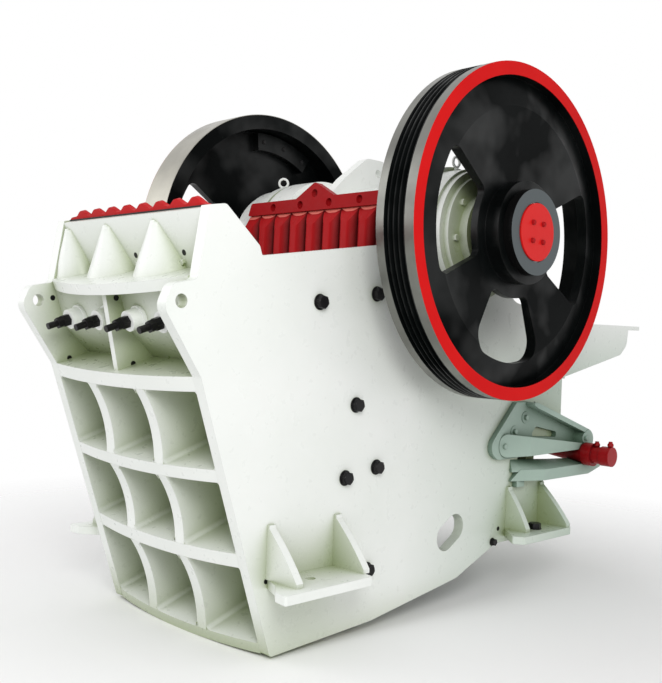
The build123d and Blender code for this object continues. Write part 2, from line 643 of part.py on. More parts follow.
def rear_frame():
    """Box of plates and ribs between the side plates, which backs up the wedges."""
    half = PLATE_INNER
    front = BEAM_Y[1] - 20
    body = block(-half, half, front - 80, REAR_Y, REAR_BOTTOM_Z, REAR_BOTTOM_Z + 50)
    body += block(-half, half, front, REAR_Y, REAR_TOP_Z - 50, REAR_TOP_Z)
    body += block(-half, half, front, REAR_Y, REAR_SHELF_Z, REAR_SHELF_Z + 45)
    body += block(-half, half, front, front + 50, REAR_BOTTOM_Z, REAR_TOP_Z)
    for x in (-RIB_X, RIB_X):
        body += block(x - 25, x + 25, front + 40, REAR_Y, REAR_BOTTOM_Z, REAR_TOP_Z)
    body += block(-half, half, WEDGE_REAR_Y, WEDGE_REAR_Y + 80, SLOT_Z[0] - 15, REAR_BOTTOM_Z)
    return body


def foot(plan, gussets, hole_y):
    """Foot on the right side plate: a base plate of the given plan with gussets at (y, reach)."""
    base = along_z(plan, 0, BASE_THICK)
    lip = FOOT_TOE + BASE_THICK
    top = FOOT_HEIGHT - FOOT_NIB
    for y, reach in gussets:
        toe = PLATE_OUTER + reach
        nib = PLATE_OUTER + FOOT_NIB
        bulge = ((nib + toe) / 2 + FOOT_BULGE, (lip + top) / 2 + FOOT_BULGE)
        edges = [Line((PLATE_OUTER, BASE_THICK), (toe, BASE_THICK)).edge(),
                 Line((toe, BASE_THICK), (toe, lip)).edge(),
                 ThreePointArc((toe, lip), bulge, (nib, top)).edge(),
                 Line((nib, top), (nib, FOOT_HEIGHT)).edge(),
                 Line((nib, FOOT_HEIGHT), (PLATE_OUTER, FOOT_HEIGHT)).edge(),
                 Line((PLATE_OUTER, FOOT_HEIGHT), (PLATE_OUTER, BASE_THICK)).edge()]
        base += along_y(upward(Face(Wire(edges))), y, y + GUSSET_THICK)
    base -= Pos(FOOT_HOLE_X, hole_y, BASE_THICK / 2) * Cylinder(FOOT_HOLE_R, BASE_THICK * 2)
    return base


def front_foot():
    start, end = FRONT_FOOT_Y
    toe = PLATE_OUTER + FOOT_REACH + FRONT_FOOT_LIP
    plan = outline((PLATE_OUTER, start + 115), (PLATE_OUTER + 95, start + 74), (PLATE_OUTER + 168, start + 13),
                   (toe, start, 10), (toe, end - 32, 10), (PLATE_OUTER, end))
    reach = FOOT_REACH - 8
    gussets = ((start + FRONT_GUSSET_INSET, reach), (end - GUSSET_THICK, reach))
    return foot(plan, gussets, FRONT_HOLE_Y)


def rear_foot():
    start, end = REAR_FOOT_Y
    toe = PLATE_OUTER + FOOT_REACH
    plan = outline((PLATE_OUTER, start + 115), (toe - 57, start - 15, 10), (toe, start + 20, 10), (toe, end, 10),
                   (PLATE_OUTER, end))
    gussets = ((start + REAR_GUSSET_INSET, REAR_GUSSET_REACH), (end - GUSSET_THICK, FOOT_REACH - 8))
    return foot(plan, gussets, REAR_HOLE_Y)


def neck_room():
    """Room around the neck of the adjusting cylinder, cut out of both arms."""
    neck = spun_x((NECK_START, 0), (NECK_START, CYLINDER_ROD_R + 2), (PLATE_OUTER + ARM_REACH, NECK_R + 2),
                  (PLATE_OUTER + ARM_REACH, 0))
    return Pos(0, CYLINDER_Y, CYLINDER_Z) * neck


def upper_arm():
    """Cast bracket above the adjusting cylinder: a bolted plate, a rib and a box that grows outwards."""
    inner = PLATE_OUTER
    outer = inner + ARM_RIB
    plate = outline((325, 490, 60), (420, 430, 40), (1300, 440, 40), (1385, 490, 45), (1330, 552, 30),
                    (710, 737, 20), (580, 737, 15))
    slot = outline((775, 595, 14), (986, 556, 14), (990, 524, 14), (720, 542, 14))
    body = along_x(plate - slot, inner, inner + ARM_PLATE)
    rib = outline((640, 736, 8), (700, 736, 10), (1285, 552, 20), (1285, 524, 10), (1180, 555), (700, 706))
    body += along_x(rib, inner, outer)
    box = along_x(outline((425, 441, 60), (1215, 449), (1225, 478), (425, 575, 60)), inner, outer)
    plan = outline((inner, 400), (inner + ARM_PLATE + 3, 400), (inner + ARM_PLATE + 3, 440), (outer, 640),
                   (outer, 1300), (inner, 1300))
    body += box & along_z(plan, 400, 600)
    body += Pos(0, ARM_END_Y, ARM_END_Z) * rod_x(ARM_END_R, inner, outer)
    return body - neck_room()


def lower_arm():
    inner = PLATE_OUTER
    outer = inner + ARM_REACH
    web = outline((566, 300), (1245, 300, 30), (1382, 334, 12), (1382, 362, 10), (626, SLOT_Z[0] + 2))
    plan = outline((inner, 550), (inner + 7, 550), (outer, 777), (outer, 1400), (inner, 1400))
    return (along_x(web, inner, outer) & along_z(plan, 290, 370)) - neck_room()


def adjuster_cylinder():
    """Hydraulic cylinder that drives the wedges, lying across the machine."""
    flange = PLATE_OUTER + ARM_REACH
    barrel = flange + 57
    head = flange + 110
    end = flange + 173
    body = spun_x((CYLINDER_ROD_IN, 0), (CYLINDER_ROD_IN, CYLINDER_ROD_R), (NECK_START, CYLINDER_ROD_R),
                  (flange, NECK_R), (flange, CYLINDER_FLANGE_R), (barrel, CYLINDER_FLANGE_R),
                  (barrel, CYLINDER_R), (head, CYLINDER_R), (head, CYLINDER_HEAD_R), (end, CYLINDER_HEAD_R),
                  (end, 0))
    body = Pos(0, CYLINDER_Y, CYLINDER_Z) * body
    for x, radius in ((barrel + 16, CYLINDER_R), (end - 14, CYLINDER_HEAD_R)):
        body += Pos(x, CYLINDER_Y, CYLINDER_Z + radius + 3) * Cylinder(9, 18)
    return body


def motor_mount():
    top = block(-PLATE_OUTER, PLATE_OUTER, REAR_Y + 30, MOTOR_PLATE_END, REAR_TOP_Z - MOTOR_PLATE_THICK,
                REAR_TOP_Z)
    back = block(-PLATE_OUTER, PLATE_OUTER, REAR_Y, REAR_Y + 30, 860, REAR_TOP_Z)
    web = outline((REAR_Y + 20, 1170), (1856, 1170), (1840, 1066, 60), (1765, 1004, 60), (1180, 885, 40),
                  (REAR_Y + 20, 870))
    body = top + back
    for x in (-PLATE_OUTER, PLATE_OUTER - MOTOR_WEB_THICK):
        body += along_x(web, x, x + MOTOR_WEB_THICK)
    return body


def save(name, shape):
    """Write one node, with the origin moved to the front right foot's bolt hole."""
    export_step(Pos(-FOOT_HOLE_X, -FRONT_HOLE_Y, 0) * shape, "parts/" + name + ".step")


def save_pair(name, shape):
    save(name + "_right", shape)
    save(name + "_left", mirrored(shape))


save_pair("side_plate", side_plate())
save("front_frame", front_frame())
save("jaw_bolts", jaw_bolts())
save("jaw_bolt_cups", jaw_bolt_cups())
save("fixed_jaw_die", fixed_jaw_die())
save("moving_jaw_die", moving_jaw_die())
save_pair("upper_cheek_plate", cheek_plate(CHEEK_SPLIT_Z, CHEEK_TOP_Z))
save_pair("lower_cheek_plate", cheek_plate(CHEEK_BOTTOM_Z, CHEEK_SPLIT_Z - 4))
save_pair("bearing_housing", bearing_housing())
save_pair("bearing_cover", bearing_cover())
save("lifting_eyes", lifting_eyes())
save("eccentric_shaft", eccentric_shaft())
save("belt_flywheel", flywheel(True))
save("plain_flywheel", mirrored(flywheel(False)))
save_pair("counterweight", counterweight())
save_pair("locking_ring", locking_ring())
save_pair("shaft_end_cap", end_cap())
save("pitman", pitman())
save("jaw_clamp_bar", jaw_clamp_bar())
save("pitman_toggle_seat", pitman_toggle_seat())
save("toggle_plate", toggle_plate())
save("toggle_beam", toggle_beam())
save("adjusting_wedges", adjusting_wedges())
save("rear_frame", rear_frame())
save_pair("front_foot", front_foot())
save_pair("rear_foot", rear_foot())
save_pair("upper_arm", upper_arm())
save_pair("lower_arm", lower_arm())
save_pair("adjuster_cylinder", adjuster_cylinder())
save("motor_mount", motor_mount())
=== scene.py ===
"""Blender scene of the jaw crusher: finishes, small hardware, camera, floor and light.

Lengths are metres in the row frame: X across the machine to the right, Y to the rear, Z up, with
the origin under the bolt hole of the front right foot. Places written with mach() are measured from
the machine's middle plane and from the shaft's axis in Y. On the leaning front, u runs across, v up
the face and w out of it, all three from FACE_PLACE.
"""
import math

import bmesh
import bpy
from mathutils import Matrix, Vector


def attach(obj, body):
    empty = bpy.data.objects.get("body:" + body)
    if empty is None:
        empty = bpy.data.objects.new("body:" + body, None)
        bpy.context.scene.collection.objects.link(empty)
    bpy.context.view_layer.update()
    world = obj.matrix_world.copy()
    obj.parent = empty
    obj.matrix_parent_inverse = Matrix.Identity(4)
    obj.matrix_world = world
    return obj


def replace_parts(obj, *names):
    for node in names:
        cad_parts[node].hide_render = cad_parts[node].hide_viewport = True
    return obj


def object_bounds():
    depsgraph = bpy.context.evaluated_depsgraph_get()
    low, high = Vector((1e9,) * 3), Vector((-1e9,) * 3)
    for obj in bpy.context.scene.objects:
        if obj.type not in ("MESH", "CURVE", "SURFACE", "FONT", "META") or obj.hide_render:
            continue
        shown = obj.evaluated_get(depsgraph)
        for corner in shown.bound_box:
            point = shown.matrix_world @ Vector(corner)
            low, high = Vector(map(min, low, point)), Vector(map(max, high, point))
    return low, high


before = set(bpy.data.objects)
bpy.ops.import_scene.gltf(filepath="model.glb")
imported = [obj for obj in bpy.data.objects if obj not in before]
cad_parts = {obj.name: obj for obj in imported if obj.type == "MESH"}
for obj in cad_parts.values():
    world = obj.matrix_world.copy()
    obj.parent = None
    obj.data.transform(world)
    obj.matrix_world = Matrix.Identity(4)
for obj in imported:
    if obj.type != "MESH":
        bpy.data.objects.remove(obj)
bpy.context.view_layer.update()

# Camera, fitted to the photo, with its angles in degrees
PHOTO_HEIGHT = 683
FOCAL_PIXELS = 942.2
SENSOR = 36.0
VIEW_DEPTH = 200.0
CAMERA_PLACE = (2.8785, -2.777, 1.1021)
CAMERA_YAW = 45.272
CAMERA_PITCH = 0.733
CAMERA_ROLL = 1.999

# Floor and light
LIGHT_AIM = (-0.7, 0.6, 0.9)
SURROUND = 0.68
FLOOR_HALF = 20
FLOOR_FADE = (1.6, 4.2)

# Side plates, shaft and wheels: distances from the middle plane, and radii about the shaft
MIDDLE_X = -0.700
SHAFT_Y = 1.020
SHAFT_Z = 1.592
PLATE_INNER = 0.541
PLATE_OUTER = 0.599
COVER_FLANGE_X = 0.791
WHEEL_BACK = 0.8025
WEB_BACK = 0.942
WHEEL_FACE = 1.017
LOCK_RING_FACE = 1.094
CAP_FACE = 1.100
WHEEL_R = 0.800
RIM_INNER = 0.737
GROOVES_START = 0.044
GROOVES_END = 0.162

# Leaning front: a shelf is given by its lower and its upper v, a buttress by its u and its radius
LEAN = math.radians(18.9)
FACE_PLACE = (0.0, -1.555, 0.895)
FACE_BOW = 0.045
BOW_RADIUS = (PLATE_INNER ** 2 + FACE_BOW ** 2) / (2 * FACE_BOW)
POCKET_DEPTH = 0.230
POCKET_ROUND = 0.020
SHELVES = ((-0.064, 0.0), (-0.461, -0.404), (-0.850, -0.785), (-1.261, -1.211))
UPPER_SHELF_TOP = 0.390
RIB_THICK = 0.066
RIB_U = (PLATE_INNER + RIB_THICK / 2) / 3
WALL_BACK = 0.265
BUTTRESSES = ((-0.512, 0.122), (-0.172, 0.143), (0.206, 0.148))
BUTTRESS_TOP = 0.586
BUTTRESS_TIP_R = 0.027

# Dies: the moving die's corners are (y, z) places
TOOTH_PITCH = 0.126
TOOTH_DEPTH = 0.045
TOOTH_FLANK = 1.6
TOOTH_CROWN = 0.9
DIE_BASE = 0.022
FIXED_HALF = 0.538
FIXED_DIE_BOTTOM = -1.230
FIXED_DIE_TOP = 0.648
FIXED_TOOTH_SHIFT = 0.020
FIXED_TOOTH_FLAT = 0.30
SCALLOP = 0.026
SCALLOP_SHIFT = 0.67
SCALLOP_END = 0.05
SCALLOP_END_DROP = 0.012
# Black sheet behind the fixed die, painted shadow of the gap above the wall: its heights and depths
SHADOW_SHEET_BOTTOM = 0.560
SHADOW_SHEET_TOP = 0.638
SHADOW_SHEET_BACK = 0.0005
SHADOW_SHEET_FRONT = 0.0035
JAW_HALF = 0.535
JAW_TOP = (-0.439, 1.720)
JAW_KINK = (-0.451, 1.050)
JAW_FOOT = (-0.680, -0.170)
JAW_TOOTH_FLAT = 0.25
JAW_BEVEL = 1.7
JAW_SKIN_OUT = 0.001
JAW_SKIN_LOW = 0.0008
JAW_SKIN_TOP = 0.0003
DIE_SPLIT = 0.004

# Adjuster arms and cylinders: LOWER_WEB has (y, upper z), the end and the block are (y, z) places
ARM_PLATE = 0.030
ARM_RIB = 0.090
ARM_REACH = 0.101
ARM_SLOPE_START = 0.533
ARM_SLOPE_LENGTH = 0.244
ARM_END = (1.250, 0.500)
ARM_END_R = 0.061
ARM_END_EDGE = 0.005
LOWER_WEB = ((0.575, 0.420), (0.640, 0.416), (0.766, 0.408), (0.940, 0.397), (1.080, 0.390),
             (1.180, 0.384), (1.230, 0.374))
LOWER_WEB_INSET = 0.002
LOWER_WEB_BOTTOM = 0.350
LOWER_WEB_EDGE = 0.3635
LOWER_BLOCK = ((0.604, 0.266), (0.676, 0.266), (0.676, 0.300), (0.604, 0.300))
LOWER_BLOCK_DEPTH = 0.032
PORTS_XZ = ((0.773, 0.480), (0.859, 0.487))
PORT_Y = 1.205
PORT_R = 0.018
PORT_NECK_R = 0.011
PORT_NECK = 0.003

# Bolts: a size is the width across flats, the head's height and the washer's radius
HEAD_TURN = 0.3
HEAD_CIRCLE = 0.97
HEAD_CHAMFER = 0.55
WASHER_THICK = 0.12
WASHER_EDGE = 0.3
SIDE_BOLT = (0.055, 0.026, 0.036)
SIDE_BOLTS_YZ = ((-0.922, 1.221), (-0.555, 1.275), (-0.670, 0.760), (-0.726, 0.429),
                 (-0.519, 0.463), (-0.562, -0.014))
LOW_BOLT = (0.034, 0.020, 0.022)
LOW_BOLT_YZ = (0.436, -0.018)
COVER_BOLT = (0.030, 0.015, 0.019)
COVER_CIRCLE = 0.233
COVER_ANGLES = [143.0 + 45 * i for i in range(8)]
CAP_BOLT = (0.020, 0.010, 0.013)
CAP_CIRCLE = 0.060
CAP_ANGLES = [44 + 90 * i for i in range(4)]
FOUNDATION_BOLT = (0.062, 0.028, 0.038)
FOUNDATION_PLACE = (0.700, 0.690, 0.040)
ARM_BOLT = (0.026, 0.014, 0.032)
ARM_BOLTS_YZ = ((0.466, 0.502), (0.561, 0.577), (0.663, 0.651))
ARM_END_BOLT_YZ = (1.210, 0.512)
COUNTERWEIGHT_BOLT = (0.022, 0.006, 0.016)
COUNTERWEIGHT_CIRCLE = 0.652
COUNTERWEIGHT_ANGLES = (62, 76.5, 91)
COUNTERWEIGHT_X = WEB_BACK - 0.050
BAY_BOLT = (0.024, 0.014, 0.016)
BAY_BOLTS_U = (-0.360, 0.010, 0.345)
BAY_BOLTS_V = 0.416

# Small holes
PLATE_HOLES_YZ = ((-1.181, 0.031), (0.487, 0.047), (0.880, 0.054), (0.797, 0.721))
PLATE_HOLE_R = 0.012
BAY_HOLES_U = (-0.345, 0.000, 0.360)
BAY_HOLES_V = 0.455
RECESS_HOLES_U = (-PLATE_INNER, 0.016)
RECESS_HOLES_V = (0.003, 0.305)
RECESS_HOLES_W = -0.070
FRONT_HOLE_R = 0.013

# How far an added part goes into the part it stands on
SINK = 0.001

# Angle between two faces, in degrees, from which their edge is drawn sharp
SHARP_EDGE = 35


def mach(x, y, z):
    """A place given from the machine's middle plane and the shaft's axis, in the row frame."""
    return Vector((x + MIDDLE_X, y + SHAFT_Y, z))


def frame_of(x_dir, y_dir, z_dir, origin):
    """Matrix with the three directions as its axes, at the origin."""
    turn = Matrix((x_dir, y_dir, z_dir)).transposed().to_4x4()
    return Matrix.Translation(origin) @ turn


FRONT_UP = (0, -math.sin(LEAN), math.cos(LEAN))
FRONT_OUT = (0, -math.cos(LEAN), -math.sin(LEAN))
FRONT = frame_of((1, 0, 0), FRONT_UP, FRONT_OUT, mach(*FACE_PLACE))


def facing(direction, place):
    """Matrix that puts a part drawn along +Z at the place, pointing along the direction."""
    turn = Vector(direction).to_track_quat("Z", "Y").to_matrix().to_4x4()
    return Matrix.Translation(place) @ turn


def outwards(side, x, y, z):
    """Matrix for a part on one side of the machine that points away from the middle."""
    return facing((side, 0, 0), mach(side * x, y, z))


def sideways(side):
    """Matrix for an outline in machine Y and Z that is drawn out away from the middle."""
    turn = Matrix(((0, 0, side, 0), (1, 0, 0, 0), (0, 1, 0, 0), (0, 0, 0, 1)))
    return Matrix.Translation(mach(0, 0, 0)) @ turn


# Mesh parts

def add_strip(bm, low, high, closed=True):
    """Faces between two rows of as many vertices, closed to a ring or open."""
    count = len(low)
    for i in range(count if closed else count - 1):
        j = (i + 1) % count
        bm.faces.new((low[i], low[j], high[j], high[i]))


def add_lathe(bm, matrix, points, sides):
    """Solid of revolution about Z from (radius, height) points; radius 0 closes an end."""
    rings = []
    for radius, height in points:
        if radius == 0:
            rings.append([bm.verts.new(matrix @ Vector((0, 0, height)))])
            continue
        ring = []
        for i in range(sides):
            angle = 2 * math.pi * i / sides
            corner = Vector((radius * math.cos(angle), radius * math.sin(angle), height))
            ring.append(bm.verts.new(matrix @ corner))
        rings.append(ring)
    for low, high in zip(rings, rings[1:]):
        if len(low) == len(high):
            add_strip(bm, low, high)
            continue
        for i in range(sides):
            j = (i + 1) % sides
            if len(low) == 1:
                bm.faces.new((low[0], high[j], high[i]))
            else:
                bm.faces.new((low[i], low[j], high[0]))


def add_hex(bm, matrix, flats, start, height):
    """Hexagon head whose corners are chamfered to a circle at its top."""
    sides = 24
    end = start + height
    circle = flats / 2 * HEAD_CIRCLE
    chamfer = (flats / math.sqrt(3) - flats / 2) * HEAD_CHAMFER
    rings = []
    for level in (start, end - chamfer, end):
        ring = []
        for i in range(sides):
            angle = 2 * math.pi * i / sides
            near = (angle + math.pi / 6) % (math.pi / 3) - math.pi / 6
            radius = circle if level == end else flats / 2 / math.cos(near)
            x = radius * math.cos(angle + HEAD_TURN)
            y = radius * math.sin(angle + HEAD_TURN)
            ring.append(bm.verts.new(matrix @ Vector((x, y, level))))
        rings.append(ring)
    middle = bm.verts.new(matrix @ Vector((0, 0, end)))
    base = bm.verts.new(matrix @ Vector((0, 0, start)))
    for low, high in zip(rings, rings[1:]):
        add_strip(bm, low, high)
    for i in range(sides):
        j = (i + 1) % sides
        bm.faces.new((rings[-1][i], rings[-1][j], middle))
        bm.faces.new((rings[0][j], rings[0][i], base))


def add_bolt(bm, matrix, size):
    """Hex head screw on a round washer, standing on z = 0."""
    flats, head, washer = size
    thick = washer * WASHER_THICK
    edge = thick * WASHER_EDGE
    outline = ((0, 0), (washer, 0), (washer, thick - edge), (washer - edge, thick), (0, thick))
    add_lathe(bm, matrix, outline, 32)
    add_hex(bm, matrix, flats, thick, head)


def add_hole_shade(bm, matrix, radius):
    """Black disc with a rim about half a millimetre proud: painted shade of a small tapped hole."""
    rim = 0.0006
    deep = rim / 3
    lip = radius * 0.86
    mouth = radius * 0.8
    outline = ((radius, 0), (radius, rim), (lip, rim), (mouth, deep), (0, deep))
    add_lathe(bm, matrix, outline, 24)


def add_prism(bm, matrix, points, start, end):
    """The closed outline (a, b) drawn out along Z from start to end."""
    low = [bm.verts.new(matrix @ Vector((a, b, start))) for a, b in points]
    high = [bm.verts.new(matrix @ Vector((a, b, end))) for a, b in points]
    bm.faces.new(list(reversed(low)))
    bm.faces.new(high)
    add_strip(bm, low, high)


def add_sweep(bm, rows):
    """Skin over a row of sections of the same number of corners, closed at both ends."""
    rings = [[bm.verts.new(corner) for corner in row] for row in rows]
    for low, high in zip(rings, rings[1:]):
        add_strip(bm, low, high)
    bm.faces.new(rings[0])
    bm.faces.new(list(reversed(rings[-1])))


def piece(name, bm, body, material):
    """Finish a bmesh as a piece that moves with a body and takes a finish of the record."""
    bmesh.ops.recalc_face_normals(bm, faces=bm.faces)
    mesh = bpy.data.meshes.new(name)
    bm.to_mesh(mesh)
    bm.free()
    obj = bpy.data.objects.new(name, mesh)
    bpy.context.scene.collection.objects.link(obj)
    mesh.materials.append(material)
    mesh.polygons.foreach_set("use_smooth", [True] * len(mesh.polygons))
    mesh.set_sharp_from_angle(angle=math.radians(SHARP_EDGE))
    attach(obj, body)
    return obj


# Finishes

class Tree:
    """Small helper to write a material's nodes in order."""

    def __init__(self, name):
        self.material = bpy.data.materials.new(name)
        self.material.use_nodes = True
        self.nodes = self.material.node_tree.nodes
        self.links = self.material.node_tree.links
        self.shader = self.nodes["Principled BSDF"]
        self.place = self.add("ShaderNodeTexCoord").outputs["Object"]

    def feed(self, socket, value):
        """Link an output to the input, or set the input's own value."""
        if hasattr(value, "is_output"):
            self.links.new(value, socket)
        else:
            socket.default_value = value

    def add(self, kind, inputs=None, **settings):
        """New node, with its settings and what its inputs take."""
        node = self.nodes.new(kind)
        for key, value in settings.items():
            setattr(node, key, value)
        for key, value in (inputs or {}).items():
            self.feed(node.inputs[key], value)
        return node

    def set(self, key, value):
        """What an input of the shader takes."""
        self.feed(self.shader.inputs[key], value)

    def noise(self, scale, detail=4.0, rough=0.55, place=None):
        """Cloudy pattern about 0.5, which gets finer with the scale."""
        inputs = {"Vector": place or self.place, "Scale": scale, "Detail": detail,
                  "Roughness": rough}
        return self.add("ShaderNodeTexNoise", inputs).outputs["Fac"]

    def spread(self, value, low, high, to_low, to_high):
        """The value's range from low to high drawn out to a new range, and held at its ends."""
        inputs = {"Value": value, "From Min": low, "From Max": high, "To Min": to_low,
                  "To Max": to_high}
        return self.add("ShaderNodeMapRange", inputs).outputs["Result"]

    def clouds(self, scale, detail=4.0, high=0.7):
        """Slow change from 0 to 1 over the surface."""
        return self.spread(self.noise(scale, detail), 0.35, high, 0.0, 1.0)

    def uneven(self, scale, detail, low, high):
        """Value that changes from low to high over the surface."""
        return self.spread(self.noise(scale, detail), 0.3, 0.7, low, high)

    def blend(self, amount, first, second):
        """The first colour where the amount is 0, the second where it is 1."""
        inputs = {0: amount, 6: first, 7: second}
        return self.add("ShaderNodeMix", inputs, data_type="RGBA").outputs[2]

    def math(self, operation, first, second=0.0):
        """Result of a sum or a comparison of two values."""
        return self.add("ShaderNodeMath", {0: first, 1: second}, operation=operation).outputs[0]

    def axes(self):
        """The X, Y and Z of the place as three outputs."""
        return list(self.add("ShaderNodeSeparateXYZ", {0: self.place}).outputs)

    def distance(self, first, second, centre):
        """Distance of two of the axes from a centre."""
        a = self.math("SUBTRACT", first, centre[0])
        b = self.math("SUBTRACT", second, centre[1])
        squares = self.math("ADD", self.math("MULTIPLY", a, a), self.math("MULTIPLY", b, b))
        return self.math("SQRT", squares)

    def turning(self, scale, along, radius):
        """Fine rings of a lathe tool, from a place along the shaft and a distance from it."""
        place = self.add("ShaderNodeCombineXYZ", {0: along, 1: radius, 2: 0.0}).outputs[0]
        return self.noise(scale, 2.0, place=place)

    def bump(self, height, strength, distance, soft):
        """Relief of a height over edges that are softened by a radius."""
        edges = self.add("ShaderNodeBevel", {"Radius": soft}, samples=4).outputs["Normal"]
        inputs = {"Height": height, "Strength": strength, "Distance": distance, "Normal": edges}
        self.set("Normal", self.add("ShaderNodeBump", inputs).outputs["Normal"])


def colour(red, green, blue):
    """Linear red, green and blue with full alpha."""
    return (red, green, blue, 1.0)


# Where the white's painted rear shade comes in: growing over Y, and fading over Z
REAR_Y = (SHAFT_Y - 0.3, SHAFT_Y + 0.9)
REAR_Z = (0.8, 1.2)


def paint(name, main, shade, rough, gloss=0.5, peel=0.06, recess=None, reach=0.30,
          deep=(0.20, 0.87), rear=None):
    """Sprayed enamel: slow shifts of tone, painted shade in recesses, and the peel of the spray.

    The recess colour is painted shade where less of the space within reach is open than the range
    deep says; the rear colour is painted shade low down behind the shaft, under the wheel.
    """
    tree = Tree(name)
    tone = tree.blend(tree.clouds(1.7), main, shade)
    # Painted shade: a darker, greener rear colour low down behind the shaft, under the wheel
    if rear:
        y, z = tree.axes()[1:]
        backwards = tree.spread(y, *REAR_Y, 0.0, 1.0)
        low = tree.spread(z, *REAR_Z, 1.0, 0.0)
        tone = tree.blend(tree.math("MULTIPLY", backwards, low), tone, rear)
    # Painted shade: the recess colour where ambient occlusion finds corners and hollows
    if recess:
        occlusion = tree.add("ShaderNodeAmbientOcclusion", {"Distance": reach}, samples=10)
        tone = tree.blend(tree.spread(occlusion.outputs["AO"], *deep, 0.0, 1.0), recess, tone)
    tree.set("Base Color", tone)
    tree.set("Roughness", tree.uneven(23.0, 6.0, rough * 0.85, rough * 1.2))
    tree.set("Specular IOR Level", gloss)
    tree.bump(tree.noise(70.0, 1.0), strength=peel, distance=0.0006, soft=0.003)
    return tree.material


def turned_steel(name, main, dark, rough):
    """Machined steel about the shaft: fine rings over a slightly uneven sheen."""
    tree = Tree(name)
    x, y, z = tree.axes()
    rings = tree.turning(900.0, x, tree.distance(y, z, (SHAFT_Y, SHAFT_Z)))
    tree.set("Base Color", tree.blend(tree.clouds(6.0), main, dark))
    tree.set("Metallic", 1.0)
    tree.set("Roughness", tree.uneven(14.0, 4.0, rough * 0.8, rough * 1.3))
    tree.bump(rings, strength=0.15, distance=0.0003, soft=0.0015)
    return tree.material


def cast_metal(name, main, dark, rough, metallic, gloss):
    """Bare or oiled metal with a pitted cast skin."""
    tree = Tree(name)
    tree.set("Base Color", tree.blend(tree.clouds(9.0, 6.0, 0.68), main, dark))
    tree.set("Metallic", metallic)
    tree.set("Specular IOR Level", gloss)
    tree.set("Roughness", tree.uneven(40.0, 4.0, rough * 0.8, rough * 1.2))
    tree.bump(tree.noise(160.0, 6.0), strength=0.4, distance=0.0012, soft=0.003)
    return tree.material


def shaft_place(tree):
    """Distance from the machine's middle plane and from the shaft's axis."""
    x, y, z = tree.axes()
    side = tree.math("ABSOLUTE", tree.math("SUBTRACT", x, MIDDLE_X))
    return side, tree.distance(y, z, (SHAFT_Y, SHAFT_Z))


WHEEL_BLACK = (colour(0.0015, 0.002, 0.002), colour(0.004, 0.005, 0.005))
RIM_RED = (colour(0.66, 0.010, 0.010), colour(0.60, 0.008, 0.009))
BELT_STEEL = (colour(0.24, 0.24, 0.22), colour(0.15, 0.15, 0.14))
PLAIN_STEEL = (colour(0.40, 0.385, 0.335), colour(0.30, 0.29, 0.26))
RING_BLACK = colour(0.004, 0.004, 0.004)
RING_GREY = colour(0.10, 0.115, 0.12)


def wheel_finish(name, steel, grooved):
    """Satin black wheel with a red ring on the rim's face and a turned tread."""
    tree = Tree(name)
    side, radius = shaft_place(tree)
    slow = tree.clouds(3.0, 5.0)
    tread = tree.math("GREATER_THAN", radius, WHEEL_R - 0.003)
    if grooved:
        outside = tree.math("GREATER_THAN", side, WHEEL_BACK + GROOVES_END)
        inside = tree.math("LESS_THAN", side, WHEEL_BACK + GROOVES_START)
        tread = tree.math("MULTIPLY", tread, tree.math("MAXIMUM", outside, inside))
    face = tree.math("GREATER_THAN", side, WHEEL_FACE - 0.001)
    face = tree.math("MULTIPLY", face, tree.math("GREATER_THAN", radius, RIM_INNER - 0.002))
    beside = tree.math("SUBTRACT", 1.0, face)
    tone = tree.blend(tread, tree.blend(slow, *WHEEL_BLACK), tree.blend(slow, *steel))
    tree.set("Base Color", tree.blend(face, tone, tree.blend(slow, *RIM_RED)))
    tree.set("Metallic", tree.math("MULTIPLY", tread, beside))
    tree.set("Roughness", tree.uneven(11.0, 5.0, 0.28, 0.42))
    sheen = tree.spread(tree.noise(2.4, 3.0), 0.42, 0.62, 0.02, 0.24)
    sheen = tree.math("MULTIPLY", sheen, beside)
    tree.set("Specular IOR Level", tree.math("MAXIMUM", sheen, 0.03))
    tree.bump(tree.noise(90.0, 2.0), strength=0.10, distance=0.0006, soft=0.003)
    return tree.material


def ring_finish(name):
    """Black locking ring with a darkened, machined outer face."""
    tree = Tree(name)
    side, radius = shaft_place(tree)
    face = tree.math("GREATER_THAN", side, LOCK_RING_FACE - 0.001)
    rings = tree.turning(700.0, side, radius)
    tree.set("Base Color", tree.blend(face, RING_BLACK, RING_GREY))
    tree.set("Metallic", tree.math("MULTIPLY", face, 0.8))
    tree.set("Roughness", tree.spread(rings, 0.3, 0.7, 0.30, 0.40))
    tree.set("Specular IOR Level", 0.05)
    tree.bump(rings, strength=0.1, distance=0.0003, soft=0.002)
    return tree.material


# White: the recess colour is painted shade in pockets, the rear colour painted shade under the
# wheel
WHITE = paint("white_enamel", colour(0.87, 0.89, 0.86), colour(0.82, 0.85, 0.81), rough=0.30,
              recess=colour(0.30, 0.36, 0.18), rear=colour(0.50, 0.59, 0.50))
PLAIN_WHITE = paint("plain_white", colour(0.90, 0.92, 0.89), colour(0.87, 0.89, 0.86), rough=0.30)
# Arms: a darker, greener copy of the white as painted shade under the wheel; recess is painted
# shade
SHADED_ARM_WHITE = paint("arm_white_painted_shade", colour(0.39, 0.50, 0.43), colour(0.32, 0.43, 0.37), rough=0.42,
                  gloss=0.3, recess=colour(0.10, 0.16, 0.11), reach=0.14, deep=(0.35, 0.98))
DARK_RED = paint("jaw_red", colour(0.40, 0.009, 0.012), colour(0.32, 0.008, 0.010), rough=0.42,
                 gloss=0.06, peel=0.2)
